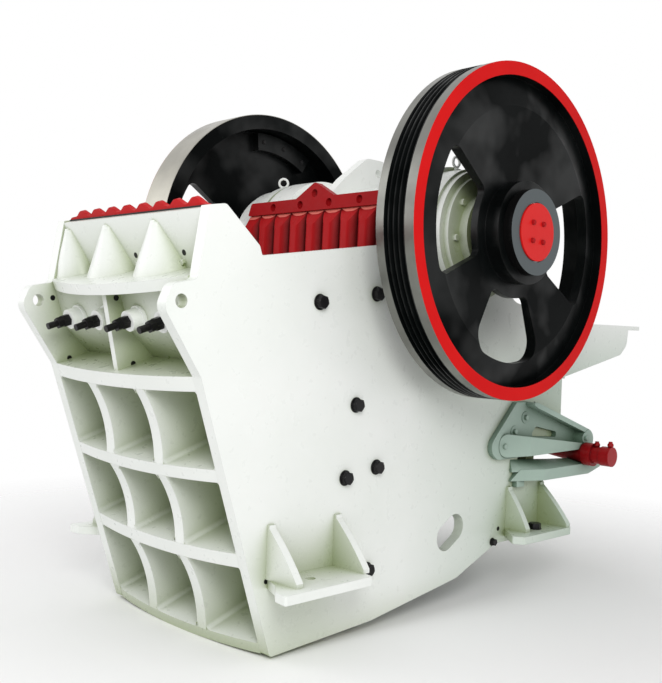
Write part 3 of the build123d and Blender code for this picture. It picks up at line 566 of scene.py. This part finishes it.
# Moving die: the recess colour is painted shade in the valleys between the teeth
DIE_RED = paint("die_red", colour(0.46, 0.011, 0.014), colour(0.38, 0.009, 0.011), rough=0.42,
                gloss=0.06, peel=0.2, recess=colour(0.008, 0.001, 0.001), reach=0.20,
                deep=(0.35, 0.95))
# Lighter red of the up-facing tooth tops on the moving die: painted highlight
TOP_HIGHLIGHT_RED = paint("top_highlight_red", colour(0.80, 0.23, 0.18), colour(0.72, 0.16, 0.13), rough=0.45,
                 gloss=0.2, peel=0.2)
FIXED_RED = paint("fixed_die_red", colour(0.58, 0.013, 0.016), colour(0.48, 0.011, 0.013),
                  rough=0.42, gloss=0.10, peel=0.2)
RED = paint("cap_red", colour(0.70, 0.011, 0.010), colour(0.64, 0.010, 0.009), rough=0.34,
            gloss=0.15)
# Cylinders: the recess colour is painted shade in their hollows
PORT_RED = paint("cylinder_red", colour(0.34, 0.005, 0.008), colour(0.26, 0.004, 0.006),
                 rough=0.34, gloss=0.2, recess=colour(0.04, 0.001, 0.002), reach=0.2)
STEEL = turned_steel("machined_steel", colour(0.46, 0.47, 0.49), colour(0.36, 0.37, 0.39), 0.34)
BLACK_STEEL = cast_metal("oiled_black_steel", colour(0.004, 0.004, 0.005),
                         colour(0.009, 0.008, 0.008), rough=0.36, metallic=0.0, gloss=0.22)
CAST = cast_metal("cast_steel", colour(0.17, 0.17, 0.18), colour(0.11, 0.11, 0.12),
                  rough=0.5, metallic=0.6, gloss=0.5)
BELT_WHEEL = wheel_finish("belt_wheel_finish", BELT_STEEL, grooved=True)
PLAIN_WHEEL = wheel_finish("plain_wheel_finish", PLAIN_STEEL, grooved=False)
LOCK_RING = ring_finish("lock_ring_finish")

# Finish of each slot of the record, and of the nodes that differ from their slot
SLOT_FINISH = {
    "frame_paint": WHITE,
    "jaw_paint": DARK_RED,
    "cap_paint": RED,
    "wheel_paint": BELT_WHEEL,
    "bare_steel": STEEL,
    "blackened_steel": BLACK_STEEL,
    "wear_steel": CAST,
}
NODE_FINISH = {
    "belt_flywheel": BELT_WHEEL,
    "plain_flywheel": PLAIN_WHEEL,
    "locking_ring_right": LOCK_RING,
    "locking_ring_left": LOCK_RING,
    "adjuster_cylinder_right": PORT_RED,
    "adjuster_cylinder_left": PORT_RED,
    "pitman": PLAIN_WHITE,
    "bearing_housing_left": PLAIN_WHITE,
    "jaw_bolt_cups": PLAIN_WHITE,
    "lifting_eyes": PLAIN_WHITE,
    "upper_arm_right": SHADED_ARM_WHITE,
    "upper_arm_left": SHADED_ARM_WHITE,
    "lower_arm_right": SHADED_ARM_WHITE,
    "lower_arm_left": SHADED_ARM_WHITE,
}

for name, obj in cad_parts.items():
    slot_name = obj.data.materials[0].name.split(".")[0]
    finish = NODE_FINISH.get(name) or SLOT_FINISH[slot_name]
    for i in range(len(obj.data.materials)):
        obj.data.materials[i] = finish


# Hardware of one side: side is 1 on the right and -1 on the left

def side_bolts(side, label):
    """Bolts and tapped holes on the outer face of a side plate."""
    bm = bmesh.new()
    for y, z in SIDE_BOLTS_YZ:
        add_bolt(bm, outwards(side, PLATE_OUTER, y, z), SIDE_BOLT)
    add_bolt(bm, outwards(side, PLATE_OUTER, *LOW_BOLT_YZ), LOW_BOLT)
    # Tapped holes drawn as black discs of painted shade
    for y, z in PLATE_HOLES_YZ:
        add_hole_shade(bm, outwards(side, PLATE_OUTER, y, z), PLATE_HOLE_R)
    piece("side_bolts_" + label, bm, "frame", BLACK_STEEL)


def bolt_circle(side, x, radius, angles, size, turned=1):
    """Bolts about the shaft's axis; turned is -1 where the heads point to the middle."""
    bm = bmesh.new()
    for degrees in angles:
        angle = math.radians(degrees)
        place = mach(side * x, radius * math.cos(angle), SHAFT_Z + radius * math.sin(angle))
        add_bolt(bm, facing((turned * side, 0, 0), place), size)
    return bm


def cover_bolts(side, label):
    """Bolts on the flange of a bearing cover."""
    bm = bolt_circle(side, COVER_FLANGE_X, COVER_CIRCLE, COVER_ANGLES, COVER_BOLT)
    piece("cover_bolts_" + label, bm, "frame", WHITE)


def cap_bolts(side, label):
    """Bolts on the red cap at an end of the shaft."""
    bm = bolt_circle(side, CAP_FACE, CAP_CIRCLE, CAP_ANGLES, CAP_BOLT)
    piece("cap_bolts_" + label, bm, "shaft", DARK_RED)


def foundation_bolt(side, label):
    """Bolt on the base plate of a rear foot."""
    bm = bmesh.new()
    x, y, z = FOUNDATION_PLACE
    add_bolt(bm, facing((0, 0, 1), mach(side * x, y, z)), FOUNDATION_BOLT)
    piece("foundation_bolt_" + label, bm, "frame", BLACK_STEEL)


def arm_bolts(side, label):
    """Bolts of the upper adjuster arm, and the boss at its rear end with a bolt of its own."""
    bm = bmesh.new()
    for y, z in ARM_BOLTS_YZ:
        add_bolt(bm, outwards(side, PLATE_OUTER + ARM_PLATE, y, z), ARM_BOLT)
    boss = ((0, 0), (ARM_END_R, 0), (ARM_END_R, ARM_RIB - ARM_END_EDGE),
            (ARM_END_R - ARM_END_EDGE, ARM_RIB), (0, ARM_RIB))
    add_lathe(bm, outwards(side, PLATE_OUTER, *ARM_END), boss, 48)
    add_bolt(bm, outwards(side, PLATE_OUTER + ARM_RIB, *ARM_END_BOLT_YZ), ARM_BOLT)
    piece("arm_bolts_" + label, bm, "frame", SHADED_ARM_WHITE)


def lower_arm_ribs(side, label):
    """Block under the front end of the lower arm, and the sloping web above the arm."""
    bm = bmesh.new()
    inner = PLATE_OUTER - SINK
    add_prism(bm, sideways(side), LOWER_BLOCK, inner, PLATE_OUTER + LOWER_BLOCK_DEPTH)
    rows = []
    for y, top in LOWER_WEB:
        slope = min(1.0, (y - ARM_SLOPE_START) / ARM_SLOPE_LENGTH)
        outer = PLATE_OUTER + ARM_REACH * slope - LOWER_WEB_INSET
        corners = ((inner, LOWER_WEB_BOTTOM), (inner, top), (outer, LOWER_WEB_EDGE),
                   (outer, LOWER_WEB_BOTTOM))
        rows.append([mach(side * x, y, z) for x, z in corners])
    add_sweep(bm, rows)
    piece("lower_arm_ribs_" + label, bm, "frame", SHADED_ARM_WHITE)


def cylinder_ports(side, label):
    """Two round ports with a short neck on top of the adjuster cylinder."""
    bm = bmesh.new()
    turns = [math.radians(-50 + 20 * i) for i in range(6)]
    ball = [(PORT_R * math.cos(turn), PORT_R * math.sin(turn)) for turn in turns]
    end = PORT_R + PORT_NECK
    outline = [(0, ball[0][1])] + ball + [(PORT_NECK_R, end), (0, end)]
    for x, z in PORTS_XZ:
        add_lathe(bm, facing((0, 0, 1), mach(side * x, PORT_Y, z)), outline, 24)
    piece("cylinder_ports_" + label, bm, "frame", PORT_RED)


def counterweight_bolts(side, label):
    """Bolts on the inner face of a flywheel's counterweight."""
    bm = bolt_circle(side, COUNTERWEIGHT_X, COUNTERWEIGHT_CIRCLE, COUNTERWEIGHT_ANGLES,
                     COUNTERWEIGHT_BOLT, turned=-1)
    piece("counterweight_bolts_" + label, bm, "shaft", BLACK_STEEL)


# Front end

def bow(u):
    """How far the bowed front edge stands out at u."""
    return FACE_BOW - BOW_RADIUS + math.sqrt(BOW_RADIUS ** 2 - u ** 2)


def add_fillet(bm, u, v, to_right, upwards):
    """Rounded inner corner of a pocket, from its back to the front edge."""
    steps = 8
    points = []
    for i in range(steps + 1):
        angle = math.radians(90 * i / steps)
        points.append((u + to_right * POCKET_ROUND * (1 - math.sin(angle)),
                       v + upwards * POCKET_ROUND * (1 - math.cos(angle))))
    end = min(bow(a) for a, b in points) - SINK
    low = [bm.verts.new(FRONT @ Vector((a, b, -POCKET_DEPTH))) for a, b in points]
    high = [bm.verts.new(FRONT @ Vector((a, b, end))) for a, b in points]
    add_strip(bm, low, high, closed=False)
    corner = bm.verts.new(FRONT @ Vector((u, v, end)))
    front = [bm.verts.new(vertex.co) for vertex in high]
    bm.faces.new([corner] + front)


def pocket_fillets():
    """Rounded inner corners of the nine pockets."""
    walls = []
    for centre in (-RIB_U, RIB_U):
        for to_right in (-1, 1):
            walls.append((centre + to_right * RIB_THICK / 2, to_right))
    for to_right in (-1, 1):
        walls.append((-to_right * PLATE_INNER, to_right))
    bm = bmesh.new()
    for upper, lower in zip(SHELVES, SHELVES[1:]):
        for u, to_right in walls:
            add_fillet(bm, u, lower[1], to_right, 1)
            add_fillet(bm, u, upper[0], to_right, -1)
    piece("pocket_fillets", bm, "frame", WHITE)


def add_buttress(bm, u, radius):
    """Half of a blunt cone that stands on the upper shelf against the wall."""
    steps = 32
    levels = 12
    bulge = 0.006
    drop = 0.004
    back = 0.003
    tip_step = 0.0005
    tip_height = 0.6 * BUTTRESS_TIP_R
    tall = BUTTRESS_TOP - UPPER_SHELF_TOP
    profile = []
    for i in range(levels + 1):
        part = i / levels
        wide = radius + (BUTTRESS_TIP_R - radius) * part + bulge * math.sin(math.pi * part)
        profile.append((wide, UPPER_SHELF_TOP - drop + tall * part))
    for i in range(1, 7):
        turn = math.radians(15 * i)
        profile.append((BUTTRESS_TIP_R * math.cos(turn) + tip_step,
                        BUTTRESS_TOP - drop + tip_height * math.sin(turn)))
    rings = []
    for wide, v in profile:
        ring = []
        for i in range(steps + 1):
            angle = math.pi * i / steps
            across = max(u - wide * math.cos(angle), -PLATE_INNER + SINK)
            out = -POCKET_DEPTH - back + wide * math.sin(angle)
            ring.append(bm.verts.new(FRONT @ Vector((across, v, out))))
        rings.append(ring)
    for low, high in zip(rings, rings[1:]):
        add_strip(bm, low, high, closed=False)
    bm.faces.new(rings[-1])


def head_buttresses():
    """The three half cones of the top bay."""
    bm = bmesh.new()
    for u, radius in BUTTRESSES:
        add_buttress(bm, u, radius)
    piece("head_buttresses", bm, "frame", WHITE)


def bay_bolts():
    """Bolts in the top bay, between the half cones."""
    bm = bmesh.new()
    for u in BAY_BOLTS_U:
        matrix = FRONT @ Matrix.Translation((u, BAY_BOLTS_V, -POCKET_DEPTH))
        add_bolt(bm, matrix, BAY_BOLT)
    piece("bay_bolts", bm, "frame", WHITE)


def recess_holes():
    """Tapped holes above the bay bolts, and in the sides of the jaw bolts' recess."""
    bm = bmesh.new()
    # Tapped holes drawn as black discs of painted shade
    for u in BAY_HOLES_U:
        matrix = FRONT @ Matrix.Translation((u, BAY_HOLES_V, -POCKET_DEPTH))
        add_hole_shade(bm, matrix, FRONT_HOLE_R)
    for u in RECESS_HOLES_U:
        for v in RECESS_HOLES_V:
            matrix = FRONT @ facing((1, 0, 0), Vector((u, v, RECESS_HOLES_W)))
            add_hole_shade(bm, matrix, FRONT_HOLE_R)
    piece("recess_holes", bm, "frame", BLACK_STEEL)


# Dies

def tooth(u, flat):
    """Height of a tooth from 0 in the valley to 1 on the crown; flat is the crown's share."""
    across = abs((u / TOOTH_PITCH) % 1.0 - 0.5) * 2
    flank = max(0.0, (across - flat) / (1.0 - flat))
    return (1 - flank ** TOOTH_FLANK) ** TOOTH_CROWN


def scallop(u):
    """Height of the wave along the fixed die's top edge."""
    wave = 0.5 + 0.5 * math.cos(2 * math.pi * (u / TOOTH_PITCH - SCALLOP_SHIFT))
    ends = min(1.0, max(0.0, (FIXED_HALF - abs(u)) / SCALLOP_END))
    return (SCALLOP * wave + SCALLOP_END_DROP) * ends - SCALLOP_END_DROP


def fixed_die():
    """Fixed jaw die with the scalloped top edge of its teeth."""
    bm = bmesh.new()
    count = 216
    rows = []
    for i in range(count + 1):
        u = FIXED_HALF * (2 * i / count - 1)
        depth = DIE_BASE + TOOTH_DEPTH * tooth(u - FIXED_TOOTH_SHIFT, FIXED_TOOTH_FLAT)
        top = FIXED_DIE_TOP + scallop(u)
        slope = top - (depth - DIE_BASE)
        row = ((0, FIXED_DIE_BOTTOM), (0, top), (DIE_BASE, top), (depth, slope),
               (depth, FIXED_DIE_BOTTOM))
        rows.append([FRONT @ Vector((u, v, -WALL_BACK - d)) for d, v in row])
    add_sweep(bm, rows)
    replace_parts(piece("fixed_die", bm, "frame", FIXED_RED), "fixed_jaw_die")


def die_gap_shadow():
    """Painted shadow: thin black sheet between the fixed die and the wall, showing above the wall.
    """
    bm = bmesh.new()
    outline = ((-FIXED_HALF, SHADOW_SHEET_BOTTOM), (FIXED_HALF, SHADOW_SHEET_BOTTOM), (FIXED_HALF, SHADOW_SHEET_TOP),
               (-FIXED_HALF, SHADOW_SHEET_TOP))
    add_prism(bm, FRONT, outline, SHADOW_SHEET_BACK - WALL_BACK, SHADOW_SHEET_FRONT - WALL_BACK)
    piece("die_gap_shadow", bm, "frame", BLACK_STEEL)


def add_moving_plate(bm, tops, high, low, bevel, short):
    """Toothed plate of the moving die between two corners, and its bevels' painted highlight skin.

    The plate ends short of the high corner. At that end a tooth loses bevel times its height,
    and tops gets the skin over the bevels.
    """
    count = 170
    along = Vector((0, high[0] - low[0], high[1] - low[1]))
    base = along.length - short
    along.normalize()
    inward = Vector((0, along.z, -along.y))
    start = mach(0, *low)

    def at(u, d, v):
        """Place across, into the jaw and up the plate from its low corner."""
        return start + Vector((u, 0, 0)) + inward * d + along * v

    rows = []
    edges = []
    for i in range(count + 1):
        u = JAW_HALF * (2 * i / count - 1)
        rise = TOOTH_DEPTH * tooth(u + TOOTH_PITCH / 2, JAW_TOOTH_FLAT)
        depth = TOOTH_DEPTH - rise
        end = base - bevel * rise
        row = ((DIE_BASE + TOOTH_DEPTH, 0), (depth, 0), (depth, end), (TOOTH_DEPTH, base),
               (DIE_BASE + TOOTH_DEPTH, base))
        rows.append([at(u, d, v) for d, v in row])
        edges.append((at(u, depth + JAW_SKIN_OUT, end + JAW_SKIN_LOW),
                      at(u, TOOTH_DEPTH, base + JAW_SKIN_TOP)))
    add_sweep(bm, rows)
    if bevel:
        rim = [(tops.verts.new(a), tops.verts.new(b)) for a, b in edges]
        for (a, b), (c, d) in zip(rim, rim[1:]):
            tops.faces.new((a, c, d, b))


def moving_die():
    """Moving jaw die: an upper plate with bevelled teeth and a lower plate."""
    bm = bmesh.new()
    tops = bmesh.new()
    add_moving_plate(bm, tops, JAW_TOP, JAW_KINK, bevel=JAW_BEVEL, short=0.0)
    add_moving_plate(bm, tops, JAW_KINK, JAW_FOOT, bevel=0.0, short=DIE_SPLIT)
    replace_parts(piece("moving_die", bm, "swing_jaw", DIE_RED), "moving_jaw_die")
    # The skin over the tooth tops is a lighter red: painted highlight where the tops face up
    piece("moving_die_highlight_tops", tops, "swing_jaw", TOP_HIGHLIGHT_RED)


for side, label in ((1, "right"), (-1, "left")):
    side_bolts(side, label)
    cover_bolts(side, label)
    cap_bolts(side, label)
    foundation_bolt(side, label)
    arm_bolts(side, label)
    lower_arm_ribs(side, label)
    cylinder_ports(side, label)
    counterweight_bolts(side, label)
pocket_fillets()
head_buttresses()
bay_bolts()
recess_holes()
fixed_die()
die_gap_shadow()
moving_die()


# Camera, floor and light

def make_camera():
    """Camera at the place and with the angles that were fitted to the photo."""
    data = bpy.data.cameras.new("camera")
    data.sensor_fit = "AUTO"
    data.sensor_width = SENSOR
    data.lens = FOCAL_PIXELS / PHOTO_HEIGHT * SENSOR
    data.clip_end = VIEW_DEPTH
    camera = bpy.data.objects.new("camera", data)
    bpy.context.scene.collection.objects.link(camera)
    yaw = math.radians(CAMERA_YAW)
    pitch = math.radians(CAMERA_PITCH)
    roll = math.radians(CAMERA_ROLL)
    back = Vector((math.sin(yaw) * math.cos(pitch), -math.cos(yaw) * math.cos(pitch),
                   math.sin(pitch)))
    level = Vector((math.cos(yaw), math.sin(yaw), 0.0))
    above = back.cross(level)
    right = level * math.cos(roll) + above * math.sin(roll)
    up = above * math.cos(roll) - level * math.sin(roll)
    camera.matrix_world = frame_of(right, up, back, CAMERA_PLACE)
    bpy.context.scene.camera = camera


def make_light(name, place, size, power):
    """Rectangular lamp that points at the machine."""
    data = bpy.data.lights.new(name, "AREA")
    data.shape = "RECTANGLE"
    data.size, data.size_y = size
    data.energy = power
    lamp = bpy.data.objects.new(name, data)
    bpy.context.scene.collection.objects.link(lamp)
    direction = Vector(LIGHT_AIM) - Vector(place)
    lamp.rotation_euler = direction.to_track_quat("-Z", "Y").to_euler()
    lamp.location = place


def make_world(strength):
    """Soft white surround: seen directly and in reflections as white, it lights more gently."""
    world = bpy.data.worlds.new("world")
    world.use_nodes = True
    nodes = world.node_tree.nodes
    links = world.node_tree.links
    background = nodes["Background"]
    background.inputs[0].default_value = colour(1.0, 1.0, 1.0)
    path = nodes.new("ShaderNodeLightPath")
    first = nodes.new("ShaderNodeMath")
    first.operation = "ADD"
    second = nodes.new("ShaderNodeMath")
    second.operation = "ADD"
    second.use_clamp = True
    level = nodes.new("ShaderNodeMapRange")
    level.inputs["To Min"].default_value = strength
    level.inputs["To Max"].default_value = 1.0
    links.new(path.outputs["Is Camera Ray"], first.inputs[0])
    links.new(path.outputs["Is Glossy Ray"], first.inputs[1])
    links.new(first.outputs[0], second.inputs[0])
    links.new(path.outputs["Is Transmission Ray"], second.inputs[1])
    links.new(second.outputs[0], level.inputs["Value"])
    links.new(level.outputs["Result"], background.inputs[1])
    bpy.context.scene.world = world


def make_floor():
    """Pale floor under the lowest edge, which fades out into the white surround."""
    mesh = bpy.data.meshes.new("floor")
    square = ((-1, -1), (1, -1), (1, 1), (-1, 1))
    corners = [(x * FLOOR_HALF, y * FLOOR_HALF, 0) for x, y in square]
    mesh.from_pydata(corners, [], [(0, 1, 2, 3)])
    floor = bpy.data.objects.new("floor", mesh)
    floor.location.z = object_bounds()[0][2]
    bpy.context.scene.collection.objects.link(floor)
    tree = Tree("floor_paint")
    tree.set("Base Color", colour(0.97, 0.97, 0.97))
    tree.set("Roughness", 0.9)
    tree.set("Specular IOR Level", 0.1)
    x, y = tree.axes()[:2]
    fade = tree.spread(tree.distance(x, y, (MIDDLE_X, SHAFT_Y)), *FLOOR_FADE, 0.0, 1.0)
    clear = tree.add("ShaderNodeBsdfTransparent").outputs[0]
    mixed = tree.add("ShaderNodeMixShader", {0: fade, 1: tree.shader.outputs[0], 2: clear})
    tree.links.new(mixed.outputs[0], tree.nodes["Material Output"].inputs[0])
    mesh.materials.append(tree.material)


make_camera()
make_light("key", place=(3.3, -2.7, 2.9), size=(1.8, 1.8), power=112)
make_light("fill", place=(-5.0, -3.5, 3.5), size=(4.0, 4.0), power=80)
make_world(SURROUND)
make_floor()
bpy.context.scene.view_settings.view_transform = "Standard"
